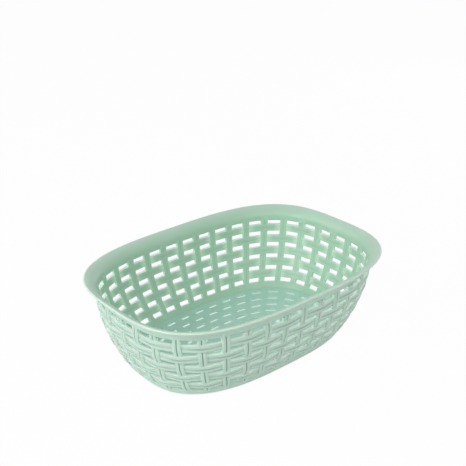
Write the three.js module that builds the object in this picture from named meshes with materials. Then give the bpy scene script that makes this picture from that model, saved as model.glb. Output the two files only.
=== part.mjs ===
import * as THREE from "three";
import { mergeVertices } from "three/addons/utils/BufferGeometryUtils.js";

// A moulded plastic basket with a woven look. Millimetres, +Z up, base on z = 0,
// +X along the long side. "Inset" is always measured inwards from the rim's outline.

// Overall size, over the lip.
const rimLength = 290;
const rimWidth = 204;
const rimHeight = 86.3;

// The plan is a superellipse, a little rounder at the floor than at the rim.
const rimSquareness = 3.1;
const floorSquareness = 2.83;

// Side wall, by a line inside its thickness that passes its top and bottom rows of slots. The
// top row is a set way below the lip. The wall leans in as it goes down, and bows in more and
// more towards the floor.
const topRowBelowLip = 16.3;
const topRowInset = 9.6;
const topRowLean = 0.1;
const bottomRowHeight = 10;
const bottomRowInset = 26.9;

// Faces of the plain wall, off that line.
const outerSkin = 0.3;
const innerSkin = 1.9;

// Woven look: upright stakes and level bands, with a slot wherever neither of them runs.
const columns = 36;
const rows = 6;
const slotHeight = 5.3;
const stakeShare = 0.35;
const crossingRise = 0.9;
const dipDepth = 0.5;
const bandOverhang = 0.5;
const topStripHeight = 4;
const bottomStripHeight = 1.6;

// Stakes whose middle grooves divide the wall into its four panels, counted from +X.
const backRightStake = 4;
const backLeftStake = 14;
const frontLeftStake = 22;
const frontRightStake = 32;

// The rim flares outwards above the wall and ends in a rounded lip.
const lipRadius = 1.2;
const flareBend = 4.8;
const flareSteps = 4;

// Floor, and the foot that it is held up on.
const floorHeight = 2.7;
const floorThickness = 1.5;
const floorFillet = 0.8;
const footCorner = 1.2;
const footWidth = 3;
const floorSeam = 4;

// Floor slots lie in rings, like the rows of the wall. Every other ring starts on a gap.
const ringSetIn = 9;
const ringPitch = 12;
const ringCount = 5;
const innerRingSquareness = 2.1;
const floorSlotLength = 11;
const floorSlotWidth = 4.2;
const floorSlotPitch = 18.2;
const leastRingHalfWidth = 9;

// Clearance between neighbouring solids, which on the real basket are one moulding.
const gap = 0.3;

const mint = 0xa9d8c0;

const halfSlot = slotHeight / 2;
const topRowHeight = rimHeight - topRowBelowLip;
const wallDrop = topRowHeight - bottomRowHeight;
const wallBow = (bottomRowInset - topRowInset - topRowLean * wallDrop) / wallDrop ** 2;
const underFloor = floorHeight - floorThickness;

// Inset, height and inward slope of the wall's line at a height.
function wallAtHeight(height) {
  const drop = topRowHeight - height;
  return {
    inset: topRowInset + topRowLean * drop + wallBow * drop ** 2,
    height,
    slope: topRowLean + 2 * wallBow * drop,
  };
}

// Length of the wall's line from the top row down to a height.
function wayDownTo(height) {
  const arc = (slope) => (slope * Math.sqrt(1 + slope ** 2) + Math.asinh(slope)) / (4 * wallBow);
  return arc(wallAtHeight(height).slope) - arc(topRowLean);
}

// The wall's line a given way down it from the top row, found by Newton's method.
function wallAtWay(wayDown) {
  let height = topRowHeight - wayDown;
  for (let i = 0; i < 8; i += 1) {
    const steepness = Math.sqrt(1 + wallAtHeight(height).slope ** 2);
    height += (wayDownTo(height) - wayDown) / steepness;
  }
  return wallAtHeight(height);
}

const rowPitch = wayDownTo(bottomRowHeight) / (rows - 1);
const floorEdge = wallAtHeight(floorHeight).inset + innerSkin;

function superellipse(halfLength, halfWidth, squareness) {
  const steps = 1440;
  const radius = (angle) =>
    (Math.abs(Math.cos(angle) / halfLength) ** squareness
      + Math.abs(Math.sin(angle) / halfWidth) ** squareness) ** (-1 / squareness);
  const pointAt = (angle) =>
    new THREE.Vector2(Math.cos(angle), Math.sin(angle)).multiplyScalar(radius(angle));
  const travelled = [0];
  for (let i = 1; i <= steps; i += 1) {
    const before = pointAt(((i - 1) / steps) * 2 * Math.PI);
    const here = pointAt((i / steps) * 2 * Math.PI);
    travelled.push(travelled[i - 1] + here.distanceTo(before));
  }
  const length = travelled[steps];

  // Point and outward direction at a share of the way round, from +X towards +Y.
  const at = (share) => {
    const wanted = (share - Math.floor(share)) * length;
    let low = 0;
    let high = steps;
    while (high - low > 1) {
      const middle = (low + high) >> 1;
      if (travelled[middle] <= wanted) low = middle;
      else high = middle;
    }
    const part = (wanted - travelled[low]) / (travelled[high] - travelled[low]);
    const point = pointAt(((low + part) / steps) * 2 * Math.PI);
    const slope = (value, half) =>
      (Math.sign(value) * Math.abs(value / half) ** (squareness - 1)) / half;
    const outward = new THREE.Vector2(slope(point.x, halfLength), slope(point.y, halfWidth));
    return { point, outward: outward.normalize() };
  };
  return { length, at };
}

const outlines = new Map();
function outlineAt(inset) {
  const key = inset.toFixed(3);
  if (!outlines.has(key)) {
    const squareness = rimSquareness + (floorSquareness - rimSquareness) * (inset / floorEdge);
    outlines.set(key, superellipse(rimLength / 2 - inset, rimWidth / 2 - inset, squareness));
  }
  return outlines.get(key);
}

// A point at a share of the way round, moved out from the line along the wall's own direction.
function shellPoint(line, share, out) {
  const { point, outward } = outlineAt(line.inset).at(share);
  const level = out / Math.sqrt(1 + line.slope ** 2);
  return new THREE.Vector3(
    point.x + outward.x * level,
    point.y + outward.y * level,
    line.height - line.slope * level,
  );
}

function namedMesh(name, geometry) {
  const material = new THREE.MeshStandardMaterial({ color: mint, roughness: 0.45 });
  material.name = name;
  const mesh = new THREE.Mesh(geometry, material);
  mesh.name = name;
  return mesh;
}

function closedMesh(name, corners) {
  const raw = new THREE.BufferGeometry();
  const positions = corners.flatMap((corner) => corner.toArray());
  raw.setAttribute("position", new THREE.Float32BufferAttribute(positions, 3));
  const geometry = mergeVertices(raw, 1e-4);
  geometry.computeVertexNormals();
  return namedMesh(name, geometry);
}

function addQuad(corners, a, b, c, d) {
  corners.push(a, b, c, a, c, d);
}

// Levels down a wall panel: a plain strip, then slot, band, slot and so on, then a plain strip.
// On the outer face the edges of the bands lap over the slots.
function wallLevels() {
  const levels = [{ wayDown: -halfSlot - topStripHeight, lap: 0 }];
  for (let row = 0; row < rows; row += 1) {
    const middle = row * rowPitch;
    levels.push({ wayDown: middle - halfSlot, lap: bandOverhang, slotBelow: true });
    levels.push({ wayDown: middle + halfSlot, lap: -bandOverhang });
    if (row < rows - 1) {
      levels.push({ wayDown: middle + rowPitch / 2, lap: 0, band: row });
    }
  }
  levels.push({ wayDown: (rows - 1) * rowPitch + halfSlot + bottomStripHeight, lap: 0 });
  return levels;
}

// Upright lines of a wall panel: each stake's two edges and its middle.
function wallUprights(firstStake, lastStake) {
  const uprights = [];
  for (let stake = firstStake; stake <= lastStake; stake += 1) {
    for (const side of [-1, 0, 1]) {
      const beyondPanel = (stake === firstStake && side < 0) || (stake === lastStake && side > 0);
      if (!beyondPanel) {
        uprights.push({ share: (stake + (side * stakeShare) / 2) / columns, stake, side });
      }
    }
  }
  return uprights;
}

// How far out the outer face lies. Whichever strand is in front at a crossing stands proud, and
// a band that dips behind a stake is thin just beside it.
function outerFace(upright, level) {
  if (level.band === undefined) {
    return outerSkin;
  }
  if (upright.side === 0) {
    return outerSkin + crossingRise;
  }
  const stakeInFront = (upright.stake + level.band) % 2 !== 0;
  return stakeInFront ? outerSkin - dipDepth : outerSkin + crossingRise / 2;
}

function wallPanel(name, firstStake, lastStake) {
  const levels = wallLevels();
  const uprights = wallUprights(firstStake, lastStake);
  const lastColumn = uprights.length - 1;

  // The panel's ends stand back by half the clearance.
  const standBack = (column, line) => {
    const share = gap / 2 / outlineAt(line.inset).length;
    if (column === 0) return share;
    return column === lastColumn ? -share : 0;
  };
  const face = (isOuter) =>
    uprights.map((upright, column) =>
      levels.map((level) => {
        const line = wallAtWay(level.wayDown + (isOuter ? level.lap : 0));
        const share = upright.share + standBack(column, line);
        return shellPoint(line, share, isOuter ? outerFace(upright, level) : -innerSkin);
      }));
  const outer = face(true);
  const inner = face(false);

  const isSolid = (column, row) => {
    const inside = column >= 0 && column < lastColumn && row >= 0 && row < levels.length - 1;
    return inside && !(levels[row].slotBelow && uprights[column].side === 1);
  };

  const corners = [];
  for (let column = 0; column < lastColumn; column += 1) {
    for (let row = 0; row < levels.length - 1; row += 1) {
      if (!isSolid(column, row)) continue;
      const next = column + 1;
      const below = row + 1;
      const [outerA, outerB] = [outer[column][row], outer[column][below]];
      const [outerC, outerD] = [outer[next][below], outer[next][row]];
      const [innerA, innerB] = [inner[column][row], inner[column][below]];
      const [innerC, innerD] = [inner[next][below], inner[next][row]];
      addQuad(corners, outerA, outerB, outerC, outerD);
      addQuad(corners, innerA, innerD, innerC, innerB);
      if (!isSolid(column, row - 1)) addQuad(corners, outerA, outerD, innerD, innerA);
      if (!isSolid(column, below)) addQuad(corners, outerB, innerB, innerC, outerC);
      if (!isSolid(column - 1, row)) addQuad(corners, outerA, innerA, innerB, outerB);
      if (!isSolid(next, row)) addQuad(corners, outerD, outerC, innerC, innerD);
    }
  }
  return closedMesh(name, corners);
}

// Shares at which the plain rings and the floor have their corners: the stakes' edges.
function stakeEdges() {
  const shares = [];
  for (let stake = 0; stake < columns; stake += 1) {
    shares.push((stake - stakeShare / 2) / columns);
    shares.push((stake + stakeShare / 2) / columns);
  }
  return shares;
}

// A closed ring with the same section all the way round. The section's corners run up the
// outside and down the inside.
function sectionRing(name, section) {
  const loops = stakeEdges().map((share) =>
    section.map((corner) => shellPoint(corner.line, share, corner.out)));
  const corners = [];
  loops.forEach((loop, i) => {
    const nextLoop = loops[(i + 1) % loops.length];
    loop.forEach((corner, j) => {
      const k = (j + 1) % loop.length;
      addQuad(corners, corner, nextLoop[j], nextLoop[k], loop[k]);
    });
  });
  return closedMesh(name, corners);
}

function sectionCorner(inset, height) {
  return { line: { inset, height, slope: 0 }, out: 0 };
}

function rim() {
  const start = wallAtWay(-halfSlot - topStripHeight - gap);
  const lipHeight = rimHeight - lipRadius;
  const flare = new THREE.QuadraticBezierCurve(
    new THREE.Vector2(start.inset, start.height),
    new THREE.Vector2(start.inset - start.slope * flareBend, start.height + flareBend),
    new THREE.Vector2(lipRadius, lipHeight),
  );
  const outside = [];
  const inside = [];
  for (let i = 0; i < flareSteps; i += 1) {
    const share = i / flareSteps;
    const point = flare.getPoint(share);
    const along = flare.getTangent(share);
    const line = { inset: point.x, height: point.y, slope: -along.x / along.y };
    outside.push({ line, out: outerSkin });
    inside.push({ line, out: -innerSkin });
  }

  // The lip is rounded. Its outermost corner and its top give the basket's overall size.
  const diagonal = lipRadius * Math.SQRT1_2;
  const lip = [
    sectionCorner(lipRadius - diagonal, lipHeight - diagonal),
    sectionCorner(0, lipHeight),
    sectionCorner(lipRadius - diagonal, lipHeight + diagonal),
    sectionCorner(lipRadius, rimHeight),
    sectionCorner(lipRadius + diagonal, lipHeight + diagonal),
  ];
  return sectionRing("rim", [...outside, ...lip, ...inside.reverse()]);
}

function footRing() {
  const top = wallAtWay((rows - 1) * rowPitch + halfSlot + bottomStripHeight + gap);
  const standsAt = wallAtHeight(0).inset;
  const seam = floorEdge + floorSeam - gap / 2;
  return sectionRing("foot_ring", [
    sectionCorner(seam, floorHeight),
    sectionCorner(seam, underFloor),
    sectionCorner(standsAt + footWidth, underFloor),
    sectionCorner(standsAt + footWidth, 0),
    sectionCorner(standsAt, 0),
    { line: wallAtHeight(footCorner), out: outerSkin },
    { line: top, out: outerSkin },
    { line: top, out: -innerSkin },
    { line: wallAtHeight(floorHeight + floorFillet), out: -innerSkin },
    sectionCorner(floorEdge + floorFillet, floorHeight),
  ]);
}

function floorSlots() {
  const slots = [];
  for (let ring = 0; ring < ringCount; ring += 1) {
    const inset = floorEdge + ringSetIn + ring * ringPitch;
    const halfWidth = rimWidth / 2 - inset;
    if (halfWidth < leastRingHalfWidth) break;
    const roundness = ring / Math.max(ringCount - 1, 1);
    const squareness = floorSquareness + (innerRingSquareness - floorSquareness) * roundness;
    const path = superellipse(rimLength / 2 - inset, halfWidth, squareness);
    const count = 2 * Math.round(path.length / floorSlotPitch / 2);
    const reach = floorSlotLength / 2 / path.length;
    for (let i = 0; i < count; i += 1) {
      const share = 0.25 + (i + (ring % 2) / 2) / count;
      const corners = [[-1, -1], [1, -1], [1, 1], [-1, 1]].map(([end, side]) => {
        const { point, outward } = path.at(share + end * reach);
        return point.addScaledVector(outward, (side * floorSlotWidth) / 2);
      });
      slots.push(new THREE.Path(corners));
    }
  }
  return slots;
}

function floorPlate() {
  const edge = outlineAt(floorEdge + floorSeam + gap / 2);
  const plate = new THREE.Shape(stakeEdges().map((share) => edge.at(share).point));
  plate.holes.push(...floorSlots());
  const solid = new THREE.ExtrudeGeometry(plate, { depth: floorThickness, bevelEnabled: false });
  solid.translate(0, 0, underFloor);
  return namedMesh("floor", solid);
}

const basket = new THREE.Group();
basket.name = "plastic_basket";
basket.add(
  rim(),
  wallPanel("back_wall", backRightStake, backLeftStake),
  wallPanel("left_wall", backLeftStake, frontLeftStake),
  wallPanel("front_wall", frontLeftStake, frontRightStake),
  wallPanel("right_wall", frontRightStake, backRightStake + columns),
  footRing(),
  floorPlate(),
);

export default basket;
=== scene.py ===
import math
from typing import NamedTuple

import bpy
import numpy as np
from mathutils import Matrix, Vector


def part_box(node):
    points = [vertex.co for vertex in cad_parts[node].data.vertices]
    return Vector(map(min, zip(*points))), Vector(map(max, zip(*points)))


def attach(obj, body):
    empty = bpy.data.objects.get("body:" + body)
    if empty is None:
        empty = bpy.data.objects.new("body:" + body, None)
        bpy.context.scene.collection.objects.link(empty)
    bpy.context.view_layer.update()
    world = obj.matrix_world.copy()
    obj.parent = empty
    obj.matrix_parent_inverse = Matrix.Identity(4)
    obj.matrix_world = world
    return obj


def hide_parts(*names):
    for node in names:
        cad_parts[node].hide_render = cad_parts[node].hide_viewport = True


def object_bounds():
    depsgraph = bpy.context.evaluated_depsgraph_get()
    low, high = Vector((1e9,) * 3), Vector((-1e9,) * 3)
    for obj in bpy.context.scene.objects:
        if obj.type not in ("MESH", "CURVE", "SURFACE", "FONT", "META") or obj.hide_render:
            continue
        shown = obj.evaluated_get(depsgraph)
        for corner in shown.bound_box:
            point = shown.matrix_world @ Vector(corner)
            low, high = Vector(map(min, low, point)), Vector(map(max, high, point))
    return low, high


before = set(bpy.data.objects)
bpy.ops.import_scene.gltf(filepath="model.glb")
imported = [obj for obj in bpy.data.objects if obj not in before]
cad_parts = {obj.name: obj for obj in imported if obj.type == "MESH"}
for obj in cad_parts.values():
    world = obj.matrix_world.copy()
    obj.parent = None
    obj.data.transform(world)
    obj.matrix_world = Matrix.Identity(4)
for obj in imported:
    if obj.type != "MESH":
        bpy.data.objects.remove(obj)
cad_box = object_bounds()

bl_info = {
    "name": "Woven-look plastic basket",
    "version": (1, 0, 0),
    "blender": (4, 5, 0),
    "location": "3D View > Sidebar > Basket",
    "description": "A moulded basket with a woven relief, a slotted floor and its studio",
    "category": "Add Mesh",
}

MM = 0.001

rim_size = cad_box[1] - cad_box[0]
floor_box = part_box("floor")


def length_prop(name, description, default):
    return bpy.props.FloatProperty(
        name=name, description=description, default=default, unit="LENGTH")


def share_prop(name, description, default):
    return bpy.props.FloatProperty(
        name=name, description=description, default=default, subtype="FACTOR")


def colour_prop(name, description, default):
    return bpy.props.FloatVectorProperty(
        name=name, description=description, default=default, subtype="COLOR", size=3, min=0, max=1)


class BasketShape(bpy.types.PropertyGroup):
    """Plan of the moulding, and the profile line that its two skins are measured from."""

    rim_length: length_prop("Rim length", "Over the lip, along X", rim_size.x)
    rim_width: length_prop("Rim width", "Over the lip, along Y", rim_size.y)
    rim_height: length_prop("Rim height", "Top of the lip", rim_size.z)
    rim_squareness: bpy.props.FloatProperty(
        name="Rim squareness", description="Exponent of the superellipse at the rim", default=3.1)
    floor_squareness: bpy.props.FloatProperty(
        name="Floor squareness", description="The same exponent at the floor", default=2.83)
    top_row_below_lip: length_prop(
        "Top row below lip", "From the lip to the middle of the top slots", 16.3 * MM)
    top_row_inset: length_prop("Top row inset", "From the rim's outline in to the top slots", 9.6 * MM)
    top_row_lean: bpy.props.FloatProperty(
        name="Top row lean", description="Inset gained for each unit of drop, there", default=0.1)
    bottom_row_height: length_prop("Bottom row height", "Middle of the bottom slots", 10 * MM)
    bottom_row_inset: length_prop(
        "Bottom row inset", "From the rim's outline in to the bottom slots", 26.9 * MM)
    outer_skin: length_prop("Outer skin", "From the profile line out to the wall's outer face", 0.3 * MM)
    inner_skin: length_prop("Inner skin", "From the profile line in to the wall's inner face", 1.9 * MM)
    lip_radius: length_prop("Lip radius", "Of the rounded edge", 1.2 * MM)
    flare_bend: length_prop("Flare bend", "How far the wall runs on before the rim flares", 4.8 * MM)
    corner_radius: length_prop("Corner radius", "Of the turn from the wall in under the floor", 1.9 * MM)
    foot_width: length_prop("Foot width", "Flat ring that the basket stands on", 3 * MM)


class BasketWeave(bpy.types.PropertyGroup):
    """Slots of the wall, and the relief of its stakes and bands."""

    columns: bpy.props.IntProperty(
        name="Columns", description="Upright stakes all the way round", default=36, min=4)
    rows: bpy.props.IntProperty(name="Rows", description="Rows of slots", default=6, min=2)
    slot_height: length_prop("Slot height", "Of each slot in the wall", 5.3 * MM)
    stake_share: share_prop("Stake share", "Share of a column that the stake takes", 0.35)
    top_strip: length_prop("Top strip", "Plain wall above the top slots", 4 * MM)
    swing: length_prop("Swing", "How far a strand rises where it crosses over the other", 0.8 * MM)
    dip: length_prop("Dip", "How far a band sinks beside a stake that it passes behind", 1.0 * MM)
    rod_rise: length_prop("Rod rise", "Height of the two rods of a stake", 0.7 * MM)
    rod_groove: length_prop("Rod groove", "Depth of the groove between the two rods", 0.5 * MM)
    band_edge: length_prop("Band edge", "Height of a band at the slots", 0.25 * MM)
    band_rise: length_prop("Band rise", "How much higher a band's rounded face is than its edges", 0.45 * MM)
    band_groove: length_prop("Band groove", "Depth of the two lines along a band", 0.5 * MM)
    overhang: length_prop("Overhang", "How far a band's outer edges lap over the slots", 0.75 * MM)
    top_overhang: length_prop("Top overhang", "How far the rim laps over the top slots", 0.95 * MM)
    inner_share: share_prop("Inner share", "How much of the relief shows on the inner face", 0.12)


class BasketFloor(bpy.types.PropertyGroup):
    """Rings of slots in the floor plate."""

    ring_set_in: length_prop("Ring set-in", "From the floor's edge to the outermost ring", 9 * MM)
    ring_pitch: length_prop("Ring pitch", "From ring to ring", 12 * MM)
    ring_count: bpy.props.IntProperty(name="Rings", description="Rings of slots", default=5, min=1)
    inner_squareness: bpy.props.FloatProperty(
        name="Inner squareness", description="Squareness of the innermost ring", default=2.1)
    slot_length: length_prop("Slot length", "Along the ring", 11 * MM)
    slot_width: length_prop("Slot width", "Across the ring", 4.2 * MM)
    slot_pitch: length_prop("Slot pitch", "Wanted spacing of the slots along a ring", 18.2 * MM)
    slot_corner: length_prop("Slot corner", "Radius of a slot's corners", 0.8 * MM)


class BasketFinish(bpy.types.PropertyGroup):
    """Colours of the mint plastic, with painted light and shade, and how light wanders in it."""

    colour: colour_prop("Colour", "Of the outer face", (0.58, 0.76, 0.66))
    # A darker, greener copy of the plastic's colour for the inner face: painted shade, and painted light
    # that comes through the plastic.
    inner_shade_colour: colour_prop(
        "Inner colour", "Of the inner face, where light comes through the plastic",
        (0.49, 0.715, 0.565))
    # A bluer copy of the plastic's colour: painted light of the white paper that shines through the floor.
    floor_lit_colour: colour_prop(
        "Floor colour", "Of the floor, through which white paper shines", (0.54, 0.80, 0.71))
    # Painted light on the walls of the slots, as if light came out of the plastic there.
    edge_light_colour: colour_prop("Edge colour", "Of the walls of the slots", (0.74, 0.98, 0.83))
    # Painted light where a band dips behind a stake, and painted highlights on the ledges and along the lip.
    painted_light_colour: colour_prop("Thin colour", "Where a band dips behind a stake", (0.73, 0.96, 0.7))
    thin_reach: bpy.props.FloatProperty(
        name="Thin reach", description="How much further light wanders where it is thin", default=8)
    # Painted shade in the grooves and under the bands' edges.
    painted_shade_colour: colour_prop("Hollow colour", "In the grooves", (0.2, 0.38, 0.27))
    glow: share_prop("Glow", "Share of the light that wanders in the plastic", 0.6)
    glow_depth: bpy.props.FloatVectorProperty(
        name="Glow depth", description="How far red, green and blue light wander in the plastic",
        default=(1.5 * MM, 1.8 * MM, 1.6 * MM), size=3)
    roughness: share_prop("Roughness", "Of the satin surface", 0.38)


class BasketStudio(bpy.types.PropertyGroup):
    """Camera of the product picture, and its lamps."""

    azimuth: bpy.props.FloatProperty(
        name="Azimuth", description="Of the camera, round the basket", default=math.radians(-40.55),
        subtype="ANGLE")
    elevation: bpy.props.FloatProperty(
        name="Elevation", description="Of the camera, over the horizon",
        default=math.radians(24.68), subtype="ANGLE")
    roll: bpy.props.FloatProperty(
        name="Roll", description="Of the camera", default=math.radians(-0.248), subtype="ANGLE")
    distance: length_prop("Distance", "From the camera to the aim", 0.8819)
    lens: bpy.props.FloatProperty(
        name="Lens", description="Focal length in mm, on a 36 mm sensor", default=68.965)
    aim_height: length_prop("Aim height", "Point of the basket's axis that the aim pixel shows", 31.9 * MM)
    aim_pixel: bpy.props.FloatVectorProperty(
        name="Aim pixel", description="Where the picture, 466 pixels wide, shows the aim",
        default=(237.05, 308.65), size=2)
    sky: bpy.props.FloatProperty(
        name="Sky", description="Strength of the even white surroundings", default=0.34)
    lamp_distance: length_prop("Lamp distance", "From the basket to each lamp", 1.2)
    lamp_size: length_prop("Lamp size", "Width of each soft lamp", 0.5)


# Soft lamps round the basket: azimuth and elevation in degrees, and power in watts.
LAMPS = {
    "left": (-90, 23, 4.1),
    "back_left": (-135, 37, 2.5),
    "front": (0, 34, 2.0),
    "front_left": (-45, 47, 1.95),
    "right": (105, 12, 1.2),
}

# Width of the picture in pixels, and of the camera's sensor in mm.
PICTURE = 466
SENSOR = 36.0

WHITE = (1, 1, 1, 1)

# The paper's own colour and roughness, the painted tint of the light that falls on it through the floor, the
# share of white that the camera sees on it, which leaves the rest to shadows, and half its width.
PAPER_COLOUR = (0.9, 0.9, 0.9, 1)
PAPER_ROUGHNESS = 0.9
PAPER_LIGHT_UNDER_BASKET = (0.62, 0.86, 0.76, 1)
PAPER_WHITENESS = 0.97
PAPER_HALF = 3.0

# Steps in which an outline is measured, and rounds in which a height is solved for.
OUTLINE_STEPS = 2880
SOLVER_ROUNDS = 8

# Where the net of the woven wall has its lines, in shares of a slot's height, of a band's
# height, of half a stake's width and of the space between two stakes.
SLOT_LEVELS = (0, 0.2, 0.5, 0.8, 1)
BAND_LEVELS = (0, 0.06, 0.22, 0.36, 0.42, 0.5, 0.58, 0.64, 0.78, 0.94, 1)
STAKE_LINES = (-1, -0.85, -0.5, -0.15, 0, 0.15, 0.5, 0.85, 1)
BETWEEN_LINES = (0.03, 0.22, 0.5, 0.78, 0.97)

# How far the floor plate's top lies over the lowest part of the wall's inner face.
FLOOR_OVERLAP = 0.3 * MM

# Angles in degrees at which the lip's round edge has its levels, steps of the flare under it,
# and shares of the turn under the floor.
LIP_ANGLES = (90, 68, 45, 22)
FLARE_STEPS = 8
TURN_SHARES = (0.25, 0.5, 0.75, 1)

# Where the plain strip above the slots has its lower level, in shares of its height, and how far
# under the last slots the wall is plain again.
STRIP_LEVEL = 0.1
PLAIN_BELOW_SLOTS = 0.4 * MM

# Points of each line of the floor, where each ring has its first slot, as a share of the way, and
# steps of each slot's rounded corners.
FLOOR_POINTS = 288
FIRST_SLOT = 0.25
SLOT_CORNER_STEPS = 3


def outline(half_length, half_width, squareness, shares):
    """Points and outward directions of a superellipse at shares of the way round it, and its length."""
    angles = np.linspace(0, 2 * math.pi, OUTLINE_STEPS + 1)

    def points_at(angle):
        along, across = np.cos(angle), np.sin(angle)
        radius = (np.abs(along / half_length) ** squareness
                  + np.abs(across / half_width) ** squareness) ** (-1 / squareness)
        return np.stack([along * radius, across * radius], axis=-1)

    steps = np.linalg.norm(np.diff(points_at(angles), axis=0), axis=1)
    travelled = np.concatenate([[0], np.cumsum(steps)])
    wanted = np.mod(shares, 1) * travelled[-1]
    points = points_at(np.interp(wanted, travelled, angles))
    halves = np.array([half_length, half_width])
    outward = np.sign(points) * np.abs(points / halves) ** (squareness - 1) / halves
    outward /= np.linalg.norm(outward, axis=1, keepdims=True)
    return points, outward, travelled[-1]


class Station(NamedTuple):
    """One level of the moulding: its place on the profile line, the direction that its outer face
    looks in, its two skins, and the way down the wall from the middle of the top slots."""

    inset: float
    height: float
    level: float
    up: float
    outer: float
    inner: float
    way: float


class Profile:
    """The moulding's section, from the lip down the wall and in under the floor."""

    def __init__(self, shape, weave):
        self.shape = shape
        self.weave = weave
        self.outer = shape.outer_skin
        self.inner = shape.inner_skin
        self.half_slot = weave.slot_height / 2
        self.top_row = shape.rim_height - shape.top_row_below_lip
        drop = self.top_row - shape.bottom_row_height
        gained = shape.bottom_row_inset - shape.top_row_inset - shape.top_row_lean * drop
        self.bow = gained / drop ** 2
        self.row_pitch = self.way_down_to(shape.bottom_row_height) / (weave.rows - 1)

    def slope(self, height):
        """Inset gained for each unit of drop."""
        return self.shape.top_row_lean + 2 * self.bow * (self.top_row - height)

    def inset(self, height):
        """From the rim's outline in to the profile line of the wall."""
        drop = self.top_row - height
        return self.shape.top_row_inset + self.shape.top_row_lean * drop + self.bow * drop ** 2

    def way_down_to(self, height):
        """Length of the profile line from the middle of the top slots down to a height."""
        def arc(slope):
            return (slope * math.sqrt(1 + slope ** 2) + math.asinh(slope)) / (4 * self.bow)

        return arc(self.slope(height)) - arc(self.shape.top_row_lean)

    def height_at(self, way):
        """Height to which that length leads."""
        height = self.top_row - way
        for _ in range(SOLVER_ROUNDS):
            steepness = math.sqrt(1 + self.slope(height) ** 2)
            height += (self.way_down_to(height) - way) / steepness
        return height

    def wall(self, way):
        """The plain wall's station there."""
        height = self.height_at(way)
        slope = self.slope(height)
        size = math.hypot(1, slope)
        return Station(
            self.inset(height), height, 1 / size, -slope / size, self.outer, self.inner, way)

    def floor_edge(self):
        """Inset of the wall's inner face at the floor's top."""
        return self.inset(floor_box[1].z) + self.inner

    def squareness(self, inset):
        """Changes evenly from the rim's to the floor's."""
        share = inset / self.floor_edge()
        return self.shape.rim_squareness * (1 - share) + self.shape.floor_squareness * share

    def outline(self, inset, shares):
        shape = self.shape
        return outline(shape.rim_length / 2 - inset, shape.rim_width / 2 - inset,
                       self.squareness(inset), shares)

    def lip_and_flare(self):
        """From the rounded lip down to the top of the plain strip."""
        shape = self.shape
        top_way = -self.half_slot - self.weave.top_strip
        start = self.wall(top_way)
        slope = self.slope(start.height)
        low = np.array([start.inset, start.height])
        bend = low + shape.flare_bend * np.array([-slope, 1])
        high = np.array([shape.lip_radius, shape.rim_height - shape.lip_radius])
        out_of_lip = (high - bend) / np.linalg.norm(high - bend)

        def way_up_to(inset, height):
            return top_way - math.hypot(inset - start.inset, height - start.height)

        stations = []
        for angle in np.radians(LIP_ANGLES):
            inset, height = high + out_of_lip * shape.lip_radius * math.sin(angle)
            half = shape.lip_radius * math.cos(angle)
            way = way_up_to(inset, height)
            stations.append(Station(inset, height, out_of_lip[1], out_of_lip[0], half, half, way))
        for share in np.linspace(1, 0, FLARE_STEPS + 1)[:-1]:
            inset, height = (1 - share) ** 2 * low + 2 * share * (1 - share) * bend + share ** 2 * high
            along = (1 - share) * (bend - low) + share * (high - bend)
            along /= np.linalg.norm(along)
            outer = self.outer + (shape.lip_radius - self.outer) * share
            inner = self.inner + (shape.lip_radius - self.inner) * share
            way = way_up_to(inset, height)
            stations.append(Station(inset, height, along[1], along[0], outer, inner, way))
        return stations

    def woven_wall(self):
        """Levels of the strip above the slots, of each slot and band, and down to the turn."""
        weave = self.weave
        band = self.row_pitch - weave.slot_height
        ways = [-self.half_slot - weave.top_strip * share for share in (1, STRIP_LEVEL)]
        for row in range(weave.rows):
            slot_top = row * self.row_pitch - self.half_slot
            ways += [slot_top + weave.slot_height * share for share in SLOT_LEVELS]
            if row < weave.rows - 1:
                band_top = slot_top + weave.slot_height
                ways += [band_top + band * share for share in BAND_LEVELS[1:-1]]
        turn = self.turn_start()
        slots_end = ways[-1]
        ways += [slots_end + PLAIN_BELOW_SLOTS, (slots_end + turn) / 2, turn]
        return [self.wall(way) for way in ways]

    def turn_start(self):
        """Way down to where the wall starts to turn in, so that its foot reaches the ground."""
        radius = self.shape.corner_radius
        middle = self.foot_middle()
        height = middle + radius
        for _ in range(SOLVER_ROUNDS):
            slope = self.slope(height)
            height = middle + radius * (1 - slope / math.hypot(1, slope))
        return self.way_down_to(height)

    def foot_middle(self):
        """Height of the profile line in the foot."""
        return floor_box[1].z - FLOOR_OVERLAP - self.inner

    def foot(self):
        """The turn inwards under the floor, and the flat ring that the basket stands on."""
        radius = self.shape.corner_radius
        start = self.wall(self.turn_start())
        centre = (start.inset + radius * start.level, start.height - radius * start.up)
        first = math.atan2(-start.up, start.level)
        stations = []
        for share in TURN_SHARES:
            angle = first + (math.pi / 2 - first) * share
            level, up = math.cos(angle), -math.sin(angle)
            outer = self.outer + (self.foot_middle() - self.outer) * share
            stations.append(Station(
                centre[0] - radius * level, centre[1] + radius * up, level, up,
                outer, self.inner, start.way + radius * share))
        end = stations[-1]
        stations.append(end._replace(inset=end.inset + self.shape.foot_width))
        return stations


def stake_lines(weave):
    """Places round the basket, in stakes from +X, at which the wall's net has its lines."""
    lines = []
    for stake in range(weave.columns):
        lines += [stake + side * weave.stake_share / 2 for side in STAKE_LINES]
        edge = stake + weave.stake_share / 2
        lines += [edge + (1 - weave.stake_share) * share for share in BETWEEN_LINES]
    return np.array(lines)


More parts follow.
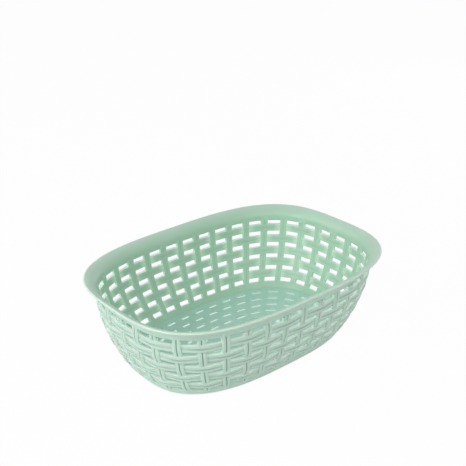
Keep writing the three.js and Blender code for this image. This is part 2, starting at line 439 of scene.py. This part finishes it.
def moulding_net(profile, weave):
    """The middle of the whole shell as one sheet of faces, closed round the basket."""
    stations = profile.lip_and_flare() + profile.woven_wall() + profile.foot()
    stakes = stake_lines(weave)
    points = []
    outward = []
    upward = []
    for station in stations:
        plan, level, _ = profile.outline(station.inset, stakes / weave.columns)
        points.append(np.column_stack([plan, np.full(len(plan), station.height)]))
        up, steep = (np.full(len(plan), value) for value in (station.up, station.level))
        outward.append(np.column_stack([level * station.level, up]))
        upward.append(np.column_stack([level * -station.up, steep]))

    around = len(stakes)
    faces = []
    for i in range(len(stations) - 1):
        for j in range(around):
            k = (j + 1) % around
            faces.append((i * around + j, (i + 1) * around + j, (i + 1) * around + k, i * around + k))
    mesh = bpy.data.meshes.new("moulded_shell")
    mesh.from_pydata(np.concatenate(points).tolist(), [], faces)
    store(mesh, "outward", "FLOAT_VECTOR", np.concatenate(outward))
    store(mesh, "upward", "FLOAT_VECTOR", np.concatenate(upward))
    store(mesh, "stake", "FLOAT", np.tile(stakes, len(stations)))
    for field in ("outer", "inner", "way"):
        values = [getattr(station, field) for station in stations]
        store(mesh, field, "FLOAT", np.repeat(values, around))
    return mesh


def store(mesh, name, kind, values):
    field = "vector" if kind == "FLOAT_VECTOR" else "value"
    attribute = mesh.attributes.new(name, kind, "POINT")
    attribute.data.foreach_set(field, np.asarray(values, dtype=np.float32).ravel())


def math_method(operation):
    """A method that adds one Math node, with the wire as its first value."""
    def method(self, *others):
        return self.writer.math(operation, self, *others)

    return method


class Wire:
    """What a node gives, so that a formula of it can be written as one. A test gives 1 where it
    holds and 0 elsewhere, and &, | and ~ join tests."""

    __add__ = math_method("ADD")
    __sub__ = math_method("SUBTRACT")
    __mul__ = math_method("MULTIPLY")
    __truediv__ = math_method("DIVIDE")
    __pow__ = math_method("POWER")
    __abs__ = math_method("ABSOLUTE")
    __round__ = math_method("ROUND")
    __gt__ = math_method("GREATER_THAN")
    __lt__ = math_method("LESS_THAN")
    __and__ = math_method("MULTIPLY")
    __or__ = math_method("MAXIMUM")
    at_least = math_method("MAXIMUM")
    at_most = math_method("MINIMUM")
    near = math_method("COMPARE")
    root = math_method("SQRT")
    cosine = math_method("COSINE")
    sign = math_method("SIGN")

    def __init__(self, writer, socket):
        self.writer = writer
        self.socket = socket

    def __rsub__(self, other):
        return self.writer.math("SUBTRACT", other, self)

    def __neg__(self):
        return self * -1

    def __invert__(self):
        return 1 - self

    def pick(self, if_true, if_false):
        """The first value where this test holds, and the second elsewhere."""
        inputs = {0: self, 2: if_false, 3: if_true}
        return self.writer.wire("ShaderNodeMix", inputs, data_type="FLOAT")


class NodeWriter:
    """Adds nodes to a tree, and links or sets their inputs."""

    def __init__(self, tree):
        self.tree = tree

    def feed(self, socket, value):
        source = value.socket if isinstance(value, Wire) else value
        if isinstance(source, bpy.types.NodeSocket):
            self.tree.links.new(source, socket)
        else:
            socket.default_value = source

    def node(self, kind, inputs=None, **settings):
        node = self.tree.nodes.new(kind)
        for key, value in settings.items():
            setattr(node, key, value)
        for key, value in (inputs or {}).items():
            self.feed(node.inputs[key], value)
        return node

    def wire(self, kind, inputs=None, output=0, **settings):
        """Adds a node of which one output is used."""
        return Wire(self, self.node(kind, inputs, **settings).outputs[output])

    def math(self, operation, *values, **settings):
        return self.wire("ShaderNodeMath", dict(enumerate(values)), operation=operation, **settings)

    def blend(self, share, first, second):
        """The first colour where the share is 0, and the second where it is 1."""
        inputs = {"Factor": share, "A": first, "B": second}
        return self.wire("ShaderNodeMix", inputs, "Result", data_type="RGBA")


# Points of the finished mesh that lie closer than this are one.
WELD = 2e-6


class ShapeWriter(NodeWriter):
    """Writes a Geometry Nodes tree that takes a net, numbers and a material, and gives a mesh."""

    def __init__(self, name, numbers):
        super().__init__(bpy.data.node_groups.new(name, "GeometryNodeTree"))
        kinds = {"Geometry": "Geometry", **dict.fromkeys(numbers, "Float"), "Material": "Material"}
        for label, kind in kinds.items():
            self.tree.interface.new_socket(label, in_out="INPUT", socket_type="NodeSocket" + kind)
        self.tree.interface.new_socket("Geometry", in_out="OUTPUT", socket_type="NodeSocketGeometry")
        given = self.tree.nodes.new("NodeGroupInput").outputs
        self.given = {socket.name: Wire(self, socket) for socket in given}
        self.result = self.tree.nodes.new("NodeGroupOutput").inputs[0]

    def attribute(self, name, kind="FLOAT"):
        return self.wire("GeometryNodeInputNamedAttribute", {"Name": name}, "Attribute", data_type=kind)

    def scaled(self, vector, factor):
        return self.wire("ShaderNodeVectorMath", {0: vector, "Scale": factor}, operation="SCALE")

    def marked(self, geometry, name, value, domain="FACE", where=True):
        """Keeps a value on the mesh, for the material."""
        return self.wire(
            "GeometryNodeStoreNamedAttribute",
            {"Geometry": geometry, "Name": name, "Selection": where, "Value": value},
            data_type="FLOAT", domain=domain)

    def moved(self, geometry, offset, where=True):
        inputs = {"Geometry": geometry, "Selection": where, "Offset": offset}
        return self.wire("GeometryNodeSetPosition", inputs)

    def flipped(self, mesh):
        return self.wire("GeometryNodeFlipFaces", {"Mesh": mesh})

    def welded(self, *parts):
        """Joins parts and makes their shared points one."""
        return self.wire("GeometryNodeMergeByDistance", {"Geometry": self.joined(*parts), "Distance": WELD})

    def joined(self, *parts):
        node = self.node("GeometryNodeJoinGeometry")
        for part in parts:
            self.feed(node.inputs[0], part)
        return Wire(self, node.outputs[0])

    def finish(self, geometry):
        real = self.wire("GeometryNodeRealizeInstances", {"Geometry": geometry})
        inputs = {"Geometry": real, "Material": self.given["Material"]}
        self.feed(self.result, self.wire("GeometryNodeSetMaterial", inputs))
        return self.tree


# Room for rounding: a share up to EDGE takes in the net's line at 1, and NEAR, a share, and SMALL, a
# length, take in the line that they are measured from.
EDGE = 1.001
NEAR = 0.01
SMALL = 0.02 * MM

# Where a band's two lines lie, where light shines through beside its edges, painted in and wandering
# further in the plastic, and how near to there, and how near to its edge the ledge lies, in shares of half
# its height off its middle.
BAND_LINE = 0.16
STREAK_EDGE = 0.88
STREAK_NEAR = 0.05
LEDGE_NEAR = 0.02

# Power of a band's rounded section, how much less its edges dip than its middle, and how much the
# painted shade of its lines fades where it dips.
BAND_POWER = 6
EDGE_STIFFNESS = 0.7
LINE_FADE = 0.35

# How fast a band turns thin as it dips, which paints light on it and lets light wander further in it, and
# the share of that which only its streaks have.
THIN_GAIN = 1.2
STREAK_SHARE = 0.65

# Strengths of the painted highlights on the ledges over the slots and along the lip, and the share of
# the painted shade that the inner face has.
LEDGE_LIGHT = 0.8
LIP_HIGHLIGHT = 0.25
INNER_PAINTED_SHADE = 0.3

# Ways, above the middle of the top slots, of the lip's end, where its painted highlight stops, and of where
# the inner face starts and ends to turn to its darker, greener painted shade.
LIP_END = -18.9 * MM
INNER_SHADE_WAYS = (-19.4 * MM, -8.5 * MM)

# Height of a strand where there is none, lower than any other.
NO_STRAND = -1


class Spot:
    """Where a point of the net lies among the stakes, the bands and the slots."""

    def __init__(self, writer):
        given = writer.given
        pitch = given["Row Pitch"]
        half_slot = given["Slot Height"] / 2
        stake = writer.attribute("stake")
        way = writer.attribute("way")
        self.given = given
        self.way = way

        # Off the middle of the nearest stake, in shares of half its width.
        nearest = round(stake)
        self.across = abs(stake - nearest) / (given["Stake Share"] / 2)
        self.in_stake = self.across < EDGE
        self.beside = self.across > 2 - EDGE

        # Off the middle of the nearest band, in shares of half its height.
        row = way / pitch
        bands_down = row - 0.5
        band = round(bands_down).at_most(given["Rows"] - 2).at_least(0)
        self.down = abs(bands_down - band) * pitch / (pitch / 2 - half_slot)
        self.in_band = self.down < EDGE

        # Below the middle of the nearest row of slots.
        self.off_row = (row - round(row)) * pitch
        self.at_slot_edge = abs(self.off_row).near(half_slot, SMALL)
        end = (given["Rows"] - 1) * pitch + half_slot * EDGE
        self.woven = (way > half_slot * -EDGE) & (way < end)

        # A stake is in front where its number and the band's add up to an odd number.
        self.stake_wave = -((nearest + bands_down) * math.pi).cosine()
        self.band_wave = ((stake + band) * math.pi).cosine()


def stake_relief(spot):
    """Height of a stake, and where the groove between its two rods is."""
    given = spot.given
    groove = spot.across < NEAR
    rod = (1 - abs(spot.across * 2 - 1) ** 2).at_least(0).root()
    rods = rod * given["Rod Rise"] + given["Band Edge"] - groove * given["Rod Groove"]
    return spot.stake_wave * given["Swing"] + rods, groove


def band_relief(spot):
    """Height of a band, and where its two lines are. It bulges over a stake and dips beside one
    that it passes behind, less at its edges."""
    given = spot.given
    edges = spot.down ** BAND_POWER
    face = (1 - edges).at_least(0).root()
    line = abs(spot.down - BAND_LINE) < NEAR
    over = spot.band_wave.at_least(0) * given["Swing"]
    under = spot.band_wave.at_most(0) ** 2 * given["Dip"] * (1 - edges * EDGE_STIFFNESS)
    height = face * given["Band Rise"] + given["Band Edge"] - line * given["Band Groove"]
    return height + over - under, line


def woven_height(spot, stake, band):
    """Height of the strand that is in front, no lower than the dip, and 0 past the weave."""
    stake = spot.in_stake.pick(stake, NO_STRAND)
    band = spot.in_band.pick(band, NO_STRAND)
    return spot.woven.pick(stake.at_least(band).at_least(-spot.given["Dip"]), 0)


def slot_lap(spot):
    """How far up the wall a band's edge laps over the slot beside it, or down if negative."""
    reach = (spot.way < 0).pick(spot.given["Top Overhang"], spot.given["Overhang"])
    return (spot.at_slot_edge & spot.beside) * spot.off_row.sign() * spot.woven * reach


def through_light_places(spot, line):
    """Light shines through a band where it dips, most of all along its lines and its edges: painted light
    in the colour, and light that wanders further in the plastic.
    """
    dipped = (spot.band_wave.at_most(0) * -THIN_GAIN).at_most(1)
    streak = (line | spot.down.near(STREAK_EDGE, STREAK_NEAR)) * STREAK_SHARE + (1 - STREAK_SHARE)
    return dipped * streak * (spot.in_band & spot.woven & spot.beside)


def lit_ledges(spot):
    """The lower edge of each slot is a ledge, painted lighter as a highlight where light from above falls on
    it.
    """
    return spot.down.near(1, LEDGE_NEAR) & spot.beside & (spot.off_row > 0) & spot.woven


def painted_shades(spot, stake_shows, groove, line, lap):
    """The groove of a stake, the lines of a band and the underside of its edge lie in shade, which is
    painted dark in the colour.
    """
    lines = (line & spot.in_band) * (spot.band_wave * LINE_FADE + (1 - LINE_FADE))
    return (stake_shows.pick(groove, lines) & spot.woven) | (lap < 0)


class Relief(NamedTuple):
    """The weave at each point of the net: heights of its two faces over the plain ones, the outer
    face's shift up the wall, where a slot goes through, and the light and shade painted on its two faces."""

    outer: Wire
    inner: Wire
    lap: Wire
    open: Wire
    inner_painted_light_and_shade: Wire
    outer_painted_light_and_shade: Wire


def woven_relief(spot):
    """Puts the strands, laps and painted light and shade together."""
    stake, groove = stake_relief(spot)
    band, line = band_relief(spot)
    outer = woven_height(spot, stake, band)
    lap = slot_lap(spot)
    stake_shows = spot.in_stake & ((stake > band) | ~spot.in_band)
    painted_shade = painted_shades(spot, stake_shows, groove, line, lap)
    # Painted highlight along the lip.
    lip = (spot.way < LIP_END) * LIP_HIGHLIGHT
    return Relief(
        outer=outer,
        inner=outer * spot.given["Inner Share"],
        lap=lap,
        open=spot.woven & ~spot.in_stake & ~spot.in_band,
        inner_painted_light_and_shade=lip + through_light_places(spot, line) - painted_shade * INNER_PAINTED_SHADE,
        outer_painted_light_and_shade=(lit_ledges(spot) * LEDGE_LIGHT).at_least(lip) - painted_shade)


def woven_shell_tree():
    """Cuts the slots in the net, gives it its thickness and raises the weave on both faces."""
    writer = ShapeWriter("Woven shell", (
        "Rows", "Row Pitch", "Slot Height", "Stake Share", "Swing", "Dip", "Rod Rise", "Rod Groove",
        "Band Edge", "Band Rise", "Band Groove", "Overhang", "Top Overhang", "Inner Share"))
    spot = Spot(writer)
    relief = woven_relief(spot)
    # Where the inner face turns to its darker, greener painted shade.
    inner_shade_ramp = {"Value": spot.way, "From Min": INNER_SHADE_WAYS[0], "From Max": INNER_SHADE_WAYS[1]}
    inside = writer.wire("ShaderNodeMapRange", inner_shade_ramp, interpolation_type="SMOOTHSTEP")
    # Painted light and shade of the inner face: glows where bands dip, the lip's highlight and shade in
    # grooves.
    toned = writer.marked(writer.given["Geometry"], "painted_light_and_shade", relief.inner_painted_light_and_shade, "POINT")
    toned = writer.marked(toned, "inside", inside, "POINT")
    cut = writer.wire(
        "GeometryNodeDeleteGeometry", {"Geometry": toned, "Selection": relief.open}, domain="FACE")
    outward = writer.attribute("outward", "FLOAT_VECTOR")
    out = writer.scaled(outward, writer.attribute("outer") + relief.outer)
    lap = writer.scaled(writer.attribute("upward", "FLOAT_VECTOR"), relief.lap)
    out = writer.wire("ShaderNodeVectorMath", {0: out, 1: lap}, operation="ADD")
    back = writer.scaled(outward, -(writer.attribute("inner") + relief.inner))

    drawn = writer.node(
        "GeometryNodeExtrudeMesh", {"Mesh": cut, "Offset Scale": 0, "Individual": False}, mode="FACES")
    top = drawn.outputs["Top"]
    under = writer.wire("FunctionNodeBooleanMath", {0: top}, operation="NOT")
    walled = writer.marked(drawn.outputs[0], "cut", drawn.outputs["Side"])
    # Painted light and shade of the outer face: highlights on the ledges and the lip, and shade in grooves.
    walled = writer.marked(walled, "painted_light_and_shade", relief.outer_painted_light_and_shade, "POINT", top)
    walled = writer.marked(walled, "inside", 0, "POINT", top)
    walled = writer.moved(writer.moved(walled, back, under), out, top)
    inner = writer.moved(writer.flipped(cut), back)
    return writer.finish(writer.welded(walled, inner))


def slotted_floor_tree():
    """Lays a slot at each step of each ring, fills the plate round them and thickens it."""
    writer = ShapeWriter(
        "Slotted floor", ("Slot Length", "Slot Width", "Slot Corner", "Top", "Thickness"))
    given = writer.given
    lines = writer.wire("GeometryNodeMeshToCurve", {"Mesh": given["Geometry"]})
    count = writer.attribute("slots")
    parted = writer.node(
        "GeometryNodeSeparateGeometry", {"Geometry": lines, "Selection": count > 0}, domain="CURVE")
    stepped = writer.wire(
        "GeometryNodeResampleCurve", {"Curve": parted.outputs["Selection"], "Count": count})
    slot = writer.wire(
        "GeometryNodeCurvePrimitiveQuadrilateral",
        {"Width": given["Slot Length"], "Height": given["Slot Width"]})
    slot = writer.wire(
        "GeometryNodeFilletCurve",
        {"Curve": slot, "Radius": given["Slot Corner"], "Count": SLOT_CORNER_STEPS}, mode="POLY")
    tangent = writer.wire("GeometryNodeInputTangent")
    turned = writer.wire("FunctionNodeAlignRotationToVector", {"Vector": tangent}, axis="X")
    laid = writer.wire(
        "GeometryNodeInstanceOnPoints", {"Points": stepped, "Instance": slot, "Rotation": turned})
    slots = writer.wire("GeometryNodeRealizeInstances", {"Geometry": laid})
    outlines = writer.joined(slots, parted.outputs["Inverted"])
    plate = writer.wire("GeometryNodeFillCurve", {"Curve": outlines}, mode="TRIANGLES")

    down = writer.wire("ShaderNodeCombineXYZ", {"Z": -given["Thickness"]})
    drawn = writer.node(
        "GeometryNodeExtrudeMesh", {"Mesh": plate, "Offset": down, "Individual": False}, mode="FACES")
    marked = writer.marked(drawn.outputs[0], "cut", drawn.outputs["Side"])
    lift = writer.wire("ShaderNodeCombineXYZ", {"Z": given["Top"]})
    return writer.finish(writer.moved(writer.welded(writer.flipped(marked), plate), lift))


def grown(name, net, tree, values):
    """Runs the tree on the net and keeps the result as a plain mesh."""
    holder = bpy.data.objects.new(name + "_net", net)
    bpy.context.collection.objects.link(holder)
    modifier = holder.modifiers.new("Shape", "NODES")
    modifier.node_group = tree
    for item in tree.interface.items_tree:
        if item.in_out == "INPUT" and item.name in values:
            modifier[item.identifier] = values[item.name]
    bpy.context.view_layer.update()
    shaped = holder.evaluated_get(bpy.context.evaluated_depsgraph_get())
    mesh = bpy.data.meshes.new_from_object(shaped)
    bpy.data.objects.remove(holder)
    mesh.name = name
    piece = bpy.data.objects.new(name, mesh)
    bpy.context.collection.objects.link(piece)
    return piece


# Faces of the shell that meet at a flatter angle than this, in degrees, are shaded as one.
SMOOTH_ANGLE = 50


def smooth_up_to(mesh, degrees):
    mesh.shade_smooth()
    mesh.set_sharp_from_angle(angle=math.radians(degrees))


# The plastic's index of refraction, scale and detail of its clouds and of its fine grain, and the
# grain's strength and depth.
PLASTIC_IOR = 1.49
CLOUDS = (35, 4)
GRAIN = (1400, 3)
GRAIN_STRENGTH = 0.15
GRAIN_DEPTH = 0.05 * MM

# How far colour, as a share, and roughness swing in the clouds.
TINT_SWING = 0.03
POLISH_SWING = 0.05

# How much of the painted edge light a cut edge takes on, and how much rougher it is.
CUT_PAINTED_LIGHT = 0.95
CUT_ROUGHNESS = 0.4


def rgba(colour, factor=1):
    return (*(Vector(colour) * factor), 1)


def mint_plastic(name, finish, colour, inner_shade_colour):
    """Satin moulded plastic: light wanders in it, its skin is faintly uneven, and light and shade are
    painted into its colour.
    """
    material = bpy.data.materials.new(name)
    material.use_nodes = True
    writer = NodeWriter(material.node_tree)
    shader = writer.tree.nodes["Principled BSDF"].inputs
    shader["IOR"].default_value = PLASTIC_IOR
    shader["Subsurface Radius"].default_value = finish.glow_depth

    place = writer.wire("ShaderNodeTexCoord", output="Object")
    clouds, grain = (
        writer.wire("ShaderNodeTexNoise", {"Vector": place, "Scale": scale, "Detail": detail}, "Fac")
        for scale, detail in (CLOUDS, GRAIN))
    inside, painted_light_and_shade, cut = (
        writer.wire("ShaderNodeAttribute", output="Fac", attribute_name=label)
        for label in ("inside", "painted_light_and_shade", "cut"))

    outer, inner = (
        writer.blend(clouds, rgba(middle, 1 - TINT_SWING), rgba(middle, 1 + TINT_SWING))
        for middle in (colour, inner_shade_colour))
    # The inner face takes its darker, greener painted shade.
    face = writer.blend(inside, outer, inner)

    # Painted light where thin places let light through, on the ledges and along the lip, and painted shade
    # in the grooves; where the painted light is, light also wanders further in the plastic.
    for sign, new_colour in ((1, finish.painted_light_colour), (-1, finish.painted_shade_colour)):
        amount = writer.math("MULTIPLY", painted_light_and_shade, sign, use_clamp=True)
        face = writer.blend(amount, face, rgba(new_colour))
    thin_ways = {"Subsurface Weight": (finish.glow, 1), "Subsurface Scale": (1, finish.thin_reach)}
    for socket, (thick, thin) in thin_ways.items():
        way = writer.wire("ShaderNodeMapRange", {"Value": painted_light_and_shade, "To Min": thick, "To Max": thin})
        writer.feed(shader[socket], way)

    # Cut edges are painted paler, as painted light that seems to come out of the plastic there.
    face = writer.blend(cut * CUT_PAINTED_LIGHT, face, rgba(finish.edge_light_colour))
    writer.feed(shader["Base Color"], face)

    polish = writer.wire("ShaderNodeMapRange", {
        "Value": clouds,
        "To Min": finish.roughness - POLISH_SWING,
        "To Max": finish.roughness + POLISH_SWING})
    writer.feed(shader["Roughness"], cut * CUT_ROUGHNESS + polish)

    bump = writer.wire("ShaderNodeBump", {
        "Strength": GRAIN_STRENGTH, "Distance": GRAIN_DEPTH, "Height": grain})
    writer.feed(shader["Normal"], bump)
    return material


class BASKET_OT_shell(bpy.types.Operator):
    """Moulds the rim, the woven wall and the foot as one shell"""

    bl_idname = "basket.shell"
    bl_label = "Rim, wall and foot"

    def execute(self, context):
        scene = context.scene
        weave = scene.basket_weave
        finish = scene.basket_finish
        profile = Profile(scene.basket_shape, weave)
        net = moulding_net(profile, weave)
        shell = grown("moulded_shell", net, woven_shell_tree(), {
            "Rows": float(weave.rows),
            "Row Pitch": profile.row_pitch,
            "Slot Height": weave.slot_height,
            "Stake Share": weave.stake_share,
            "Swing": weave.swing,
            "Dip": weave.dip,
            "Rod Rise": weave.rod_rise,
            "Rod Groove": weave.rod_groove,
            "Band Edge": weave.band_edge,
            "Band Rise": weave.band_rise,
            "Band Groove": weave.band_groove,
            "Overhang": weave.overhang,
            "Top Overhang": weave.top_overhang,
            "Inner Share": weave.inner_share,
            "Material": mint_plastic("Mint plastic", finish, finish.colour, finish.inner_shade_colour),
        })
        smooth_up_to(shell.data, SMOOTH_ANGLE)
        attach(shell, "root")
        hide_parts("rim", "back_wall", "left_wall", "front_wall", "right_wall", "foot_ring")
        return {"FINISHED"}


class BASKET_OT_floor(bpy.types.Operator):
    """Makes the slotted floor plate, whose edge is sunk in the wall"""

    bl_idname = "basket.floor"
    bl_label = "Slotted floor"

    def execute(self, context):
        scene = context.scene
        layout = scene.basket_floor
        finish = scene.basket_finish
        profile = Profile(scene.basket_shape, scene.basket_weave)
        net = floor_lines(profile, layout)
        plate = grown("slotted_floor", net, slotted_floor_tree(), {
            "Slot Length": layout.slot_length,
            "Slot Width": layout.slot_width,
            "Slot Corner": layout.slot_corner,
            "Top": floor_box[1].z,
            "Thickness": floor_box[1].z - floor_box[0].z,
            # The floor's colour holds painted light from the paper under it.
            "Material": mint_plastic("Mint floor", finish, finish.floor_lit_colour, finish.floor_lit_colour),
        })
        plate.data.shade_flat()
        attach(plate, "root")
        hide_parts("floor")
        return {"FINISHED"}


def floor_lines(profile, layout):
    """The plate's edge and the rings, each a closed line that knows how many slots it has."""
    shape = profile.shape
    floor_edge = profile.floor_edge()
    shares = np.arange(FLOOR_POINTS) / FLOOR_POINTS
    edge, _, _ = profile.outline(floor_edge - profile.inner, shares)
    loops = [(edge, 0)]
    for ring in range(layout.ring_count):
        inset = floor_edge + layout.ring_set_in + ring * layout.ring_pitch
        roundness = ring / max(layout.ring_count - 1, 1)
        squareness = shape.floor_squareness * (1 - roundness) + layout.inner_squareness * roundness
        halves = (shape.rim_length / 2 - inset, shape.rim_width / 2 - inset)
        length = outline(*halves, squareness, shares)[2]
        slots = 2 * round(length / layout.slot_pitch / 2)
        first = FIRST_SLOT + (ring % 2) / 2 / slots
        path, _, _ = outline(*halves, squareness, first + shares)
        loops.append((path, slots))
    points = []
    edges = []
    counts = []
    for path, slots in loops:
        start = len(points)
        points += [(x, y, 0) for x, y in path]
        edges += [(start + i, start + (i + 1) % len(path)) for i in range(len(path))]
        counts += [slots] * len(path)
    mesh = bpy.data.meshes.new("floor_lines")
    mesh.from_pydata(points, edges, [])
    store(mesh, "slots", "FLOAT", counts)
    return mesh


def camera_matrix(studio):
    """Stands the camera so that the aim falls on its pixel of the picture."""
    cos_up, sin_up = math.cos(studio.elevation), math.sin(studio.elevation)
    cos_round, sin_round = math.cos(studio.azimuth), math.sin(studio.azimuth)
    back = Vector((sin_round * cos_up, -cos_round * cos_up, sin_up))
    right = Vector((cos_round, sin_round, 0))
    up = back.cross(right)
    cos_roll, sin_roll = math.cos(studio.roll), math.sin(studio.roll)
    right, up = right * cos_roll + up * sin_roll, up * cos_roll - right * sin_roll
    pixel = studio.distance * SENSOR / studio.lens / PICTURE
    aside = (studio.aim_pixel[0] - PICTURE / 2) * pixel
    below = (studio.aim_pixel[1] - PICTURE / 2) * pixel
    place = Vector((0, 0, studio.aim_height)) + back * studio.distance - right * aside + up * below
    turn = Matrix((right, up, back)).transposed().to_4x4()
    return Matrix.Translation(place) @ turn


def soft_lamp(name, azimuth, elevation, power, studio):
    """A round soft lamp that shines on the basket, whose angles are measured as the camera's are."""
    light = bpy.data.lights.new(name, "AREA")
    light.shape = "DISK"
    light.size = studio.lamp_size
    light.energy = power
    round_it, above = math.radians(azimuth), math.radians(elevation)
    direction = Vector((
        math.sin(round_it) * math.cos(above), -math.cos(round_it) * math.cos(above), math.sin(above)))
    lamp = bpy.data.objects.new(name, light)
    bpy.context.collection.objects.link(lamp)
    lamp.location = Vector((0, 0, studio.aim_height)) + direction * studio.lamp_distance
    lamp.rotation_euler = direction.to_track_quat("Z", "Y").to_euler()


def white_for_camera(writer, shader, output, share, colour=WHITE):
    """Adds light of strength 1 for what the camera sees, direct or by reflection."""
    path = writer.node("ShaderNodeLightPath").outputs
    seen = writer.math("MAXIMUM", path["Is Camera Ray"], path["Is Glossy Ray"])
    seen = seen | path["Is Transmission Ray"]
    kind = "ShaderNodeBackground" if output.type == "OUTPUT_WORLD" else "ShaderNodeEmission"
    white = writer.wire(kind, {"Color": colour, "Strength": 1})
    mix = writer.wire("ShaderNodeMixShader", {0: seen * share, 1: shader.outputs[0], 2: white})
    writer.feed(output.inputs["Surface"], mix)


class BASKET_OT_stage(bpy.types.Operator):
    """Sets out the white floor, the lamps and the camera"""

    bl_idname = "basket.stage"
    bl_label = "Studio"

    def execute(self, context):
        scene = context.scene
        studio = scene.basket_studio
        self.paper(scene)
        self.surroundings(scene, studio)
        for name, (azimuth, elevation, power) in LAMPS.items():
            soft_lamp(name, azimuth, elevation, power, studio)

        camera = bpy.data.cameras.new("picture")
        camera.sensor_width = SENSOR
        camera.lens = studio.lens
        eye = bpy.data.objects.new("picture", camera)
        context.collection.objects.link(eye)
        eye.matrix_world = camera_matrix(studio)
        scene.camera = eye
        scene.view_settings.view_transform = "Standard"
        return {"FINISHED"}

    def paper(self, scene):
        mesh = bpy.data.meshes.new("paper")
        corners = [(x * PAPER_HALF, y * PAPER_HALF, 0) for x, y in ((-1, -1), (1, -1), (1, 1), (-1, 1))]
        mesh.from_pydata(corners, [], [(0, 1, 2, 3)])
        paper = bpy.data.objects.new("paper", mesh)
        bpy.context.collection.objects.link(paper)
        material = bpy.data.materials.new("White paper")
        material.use_nodes = True
        writer = NodeWriter(material.node_tree)
        nodes = writer.tree.nodes
        shader = nodes["Principled BSDF"]
        shader.inputs["Base Color"].default_value = PAPER_COLOUR
        shader.inputs["Roughness"].default_value = PAPER_ROUGHNESS
        colour = self.paper_colour(scene, writer)
        white_for_camera(writer, shader, nodes["Material Output"], PAPER_WHITENESS, colour)
        mesh.materials.append(material)

    def paper_colour(self, scene, writer):
        """White, but painted green inside the foot, as light that falls through the plastic."""
        shape = scene.basket_shape
        profile = Profile(shape, scene.basket_weave)
        inset = profile.foot()[-1].inset - shape.foot_width / 2
        place = writer.wire("ShaderNodeTexCoord", output="Object")
        along, across = (
            abs(writer.wire("ShaderNodeSeparateXYZ", {0: place}, axis)) / (size / 2 - inset)
            for axis, size in (("X", shape.rim_length), ("Y", shape.rim_width)))
        squareness = profile.squareness(inset)
        outside = along ** squareness + across ** squareness > 1
        return writer.blend(outside, PAPER_LIGHT_UNDER_BASKET, WHITE)

    def surroundings(self, scene, studio):
        world = bpy.data.worlds.new("White studio")
        world.use_nodes = True
        nodes = world.node_tree.nodes
        shader = nodes["Background"]
        shader.inputs["Color"].default_value = WHITE
        shader.inputs["Strength"].default_value = studio.sky
        white_for_camera(NodeWriter(world.node_tree), shader, nodes["World Output"], 1)
        scene.world = world


class BASKET_PT_sidebar(bpy.types.Panel):
    """Lists the steps of the basket and the sizes that they use"""

    bl_idname = "BASKET_PT_sidebar"
    bl_label = "Basket"
    bl_space_type = "VIEW_3D"
    bl_region_type = "UI"
    bl_category = "Basket"

    def draw(self, context):
        for step in STEPS:
            self.layout.operator(step.bl_idname)
        for label, group in SETTINGS.items():
            box = self.layout.box()
            settings = getattr(context.scene, label)
            for key in group.__annotations__:
                box.prop(settings, key)


SETTINGS = {
    "basket_shape": BasketShape,
    "basket_weave": BasketWeave,
    "basket_floor": BasketFloor,
    "basket_finish": BasketFinish,
    "basket_studio": BasketStudio,
}
STEPS = (BASKET_OT_shell, BASKET_OT_floor, BASKET_OT_stage)
CLASSES = (*SETTINGS.values(), *STEPS, BASKET_PT_sidebar)


def register():
    for entry in CLASSES:
        bpy.utils.register_class(entry)
    for label, group in SETTINGS.items():
        setattr(bpy.types.Scene, label, bpy.props.PointerProperty(type=group))


def unregister():
    for label in SETTINGS:
        delattr(bpy.types.Scene, label)
    for entry in reversed(CLASSES):
        bpy.utils.unregister_class(entry)


def main():
    register()
    bpy.ops.basket.shell()
    bpy.ops.basket.floor()
    bpy.ops.basket.stage()


if __name__ == "__main__":
    main()
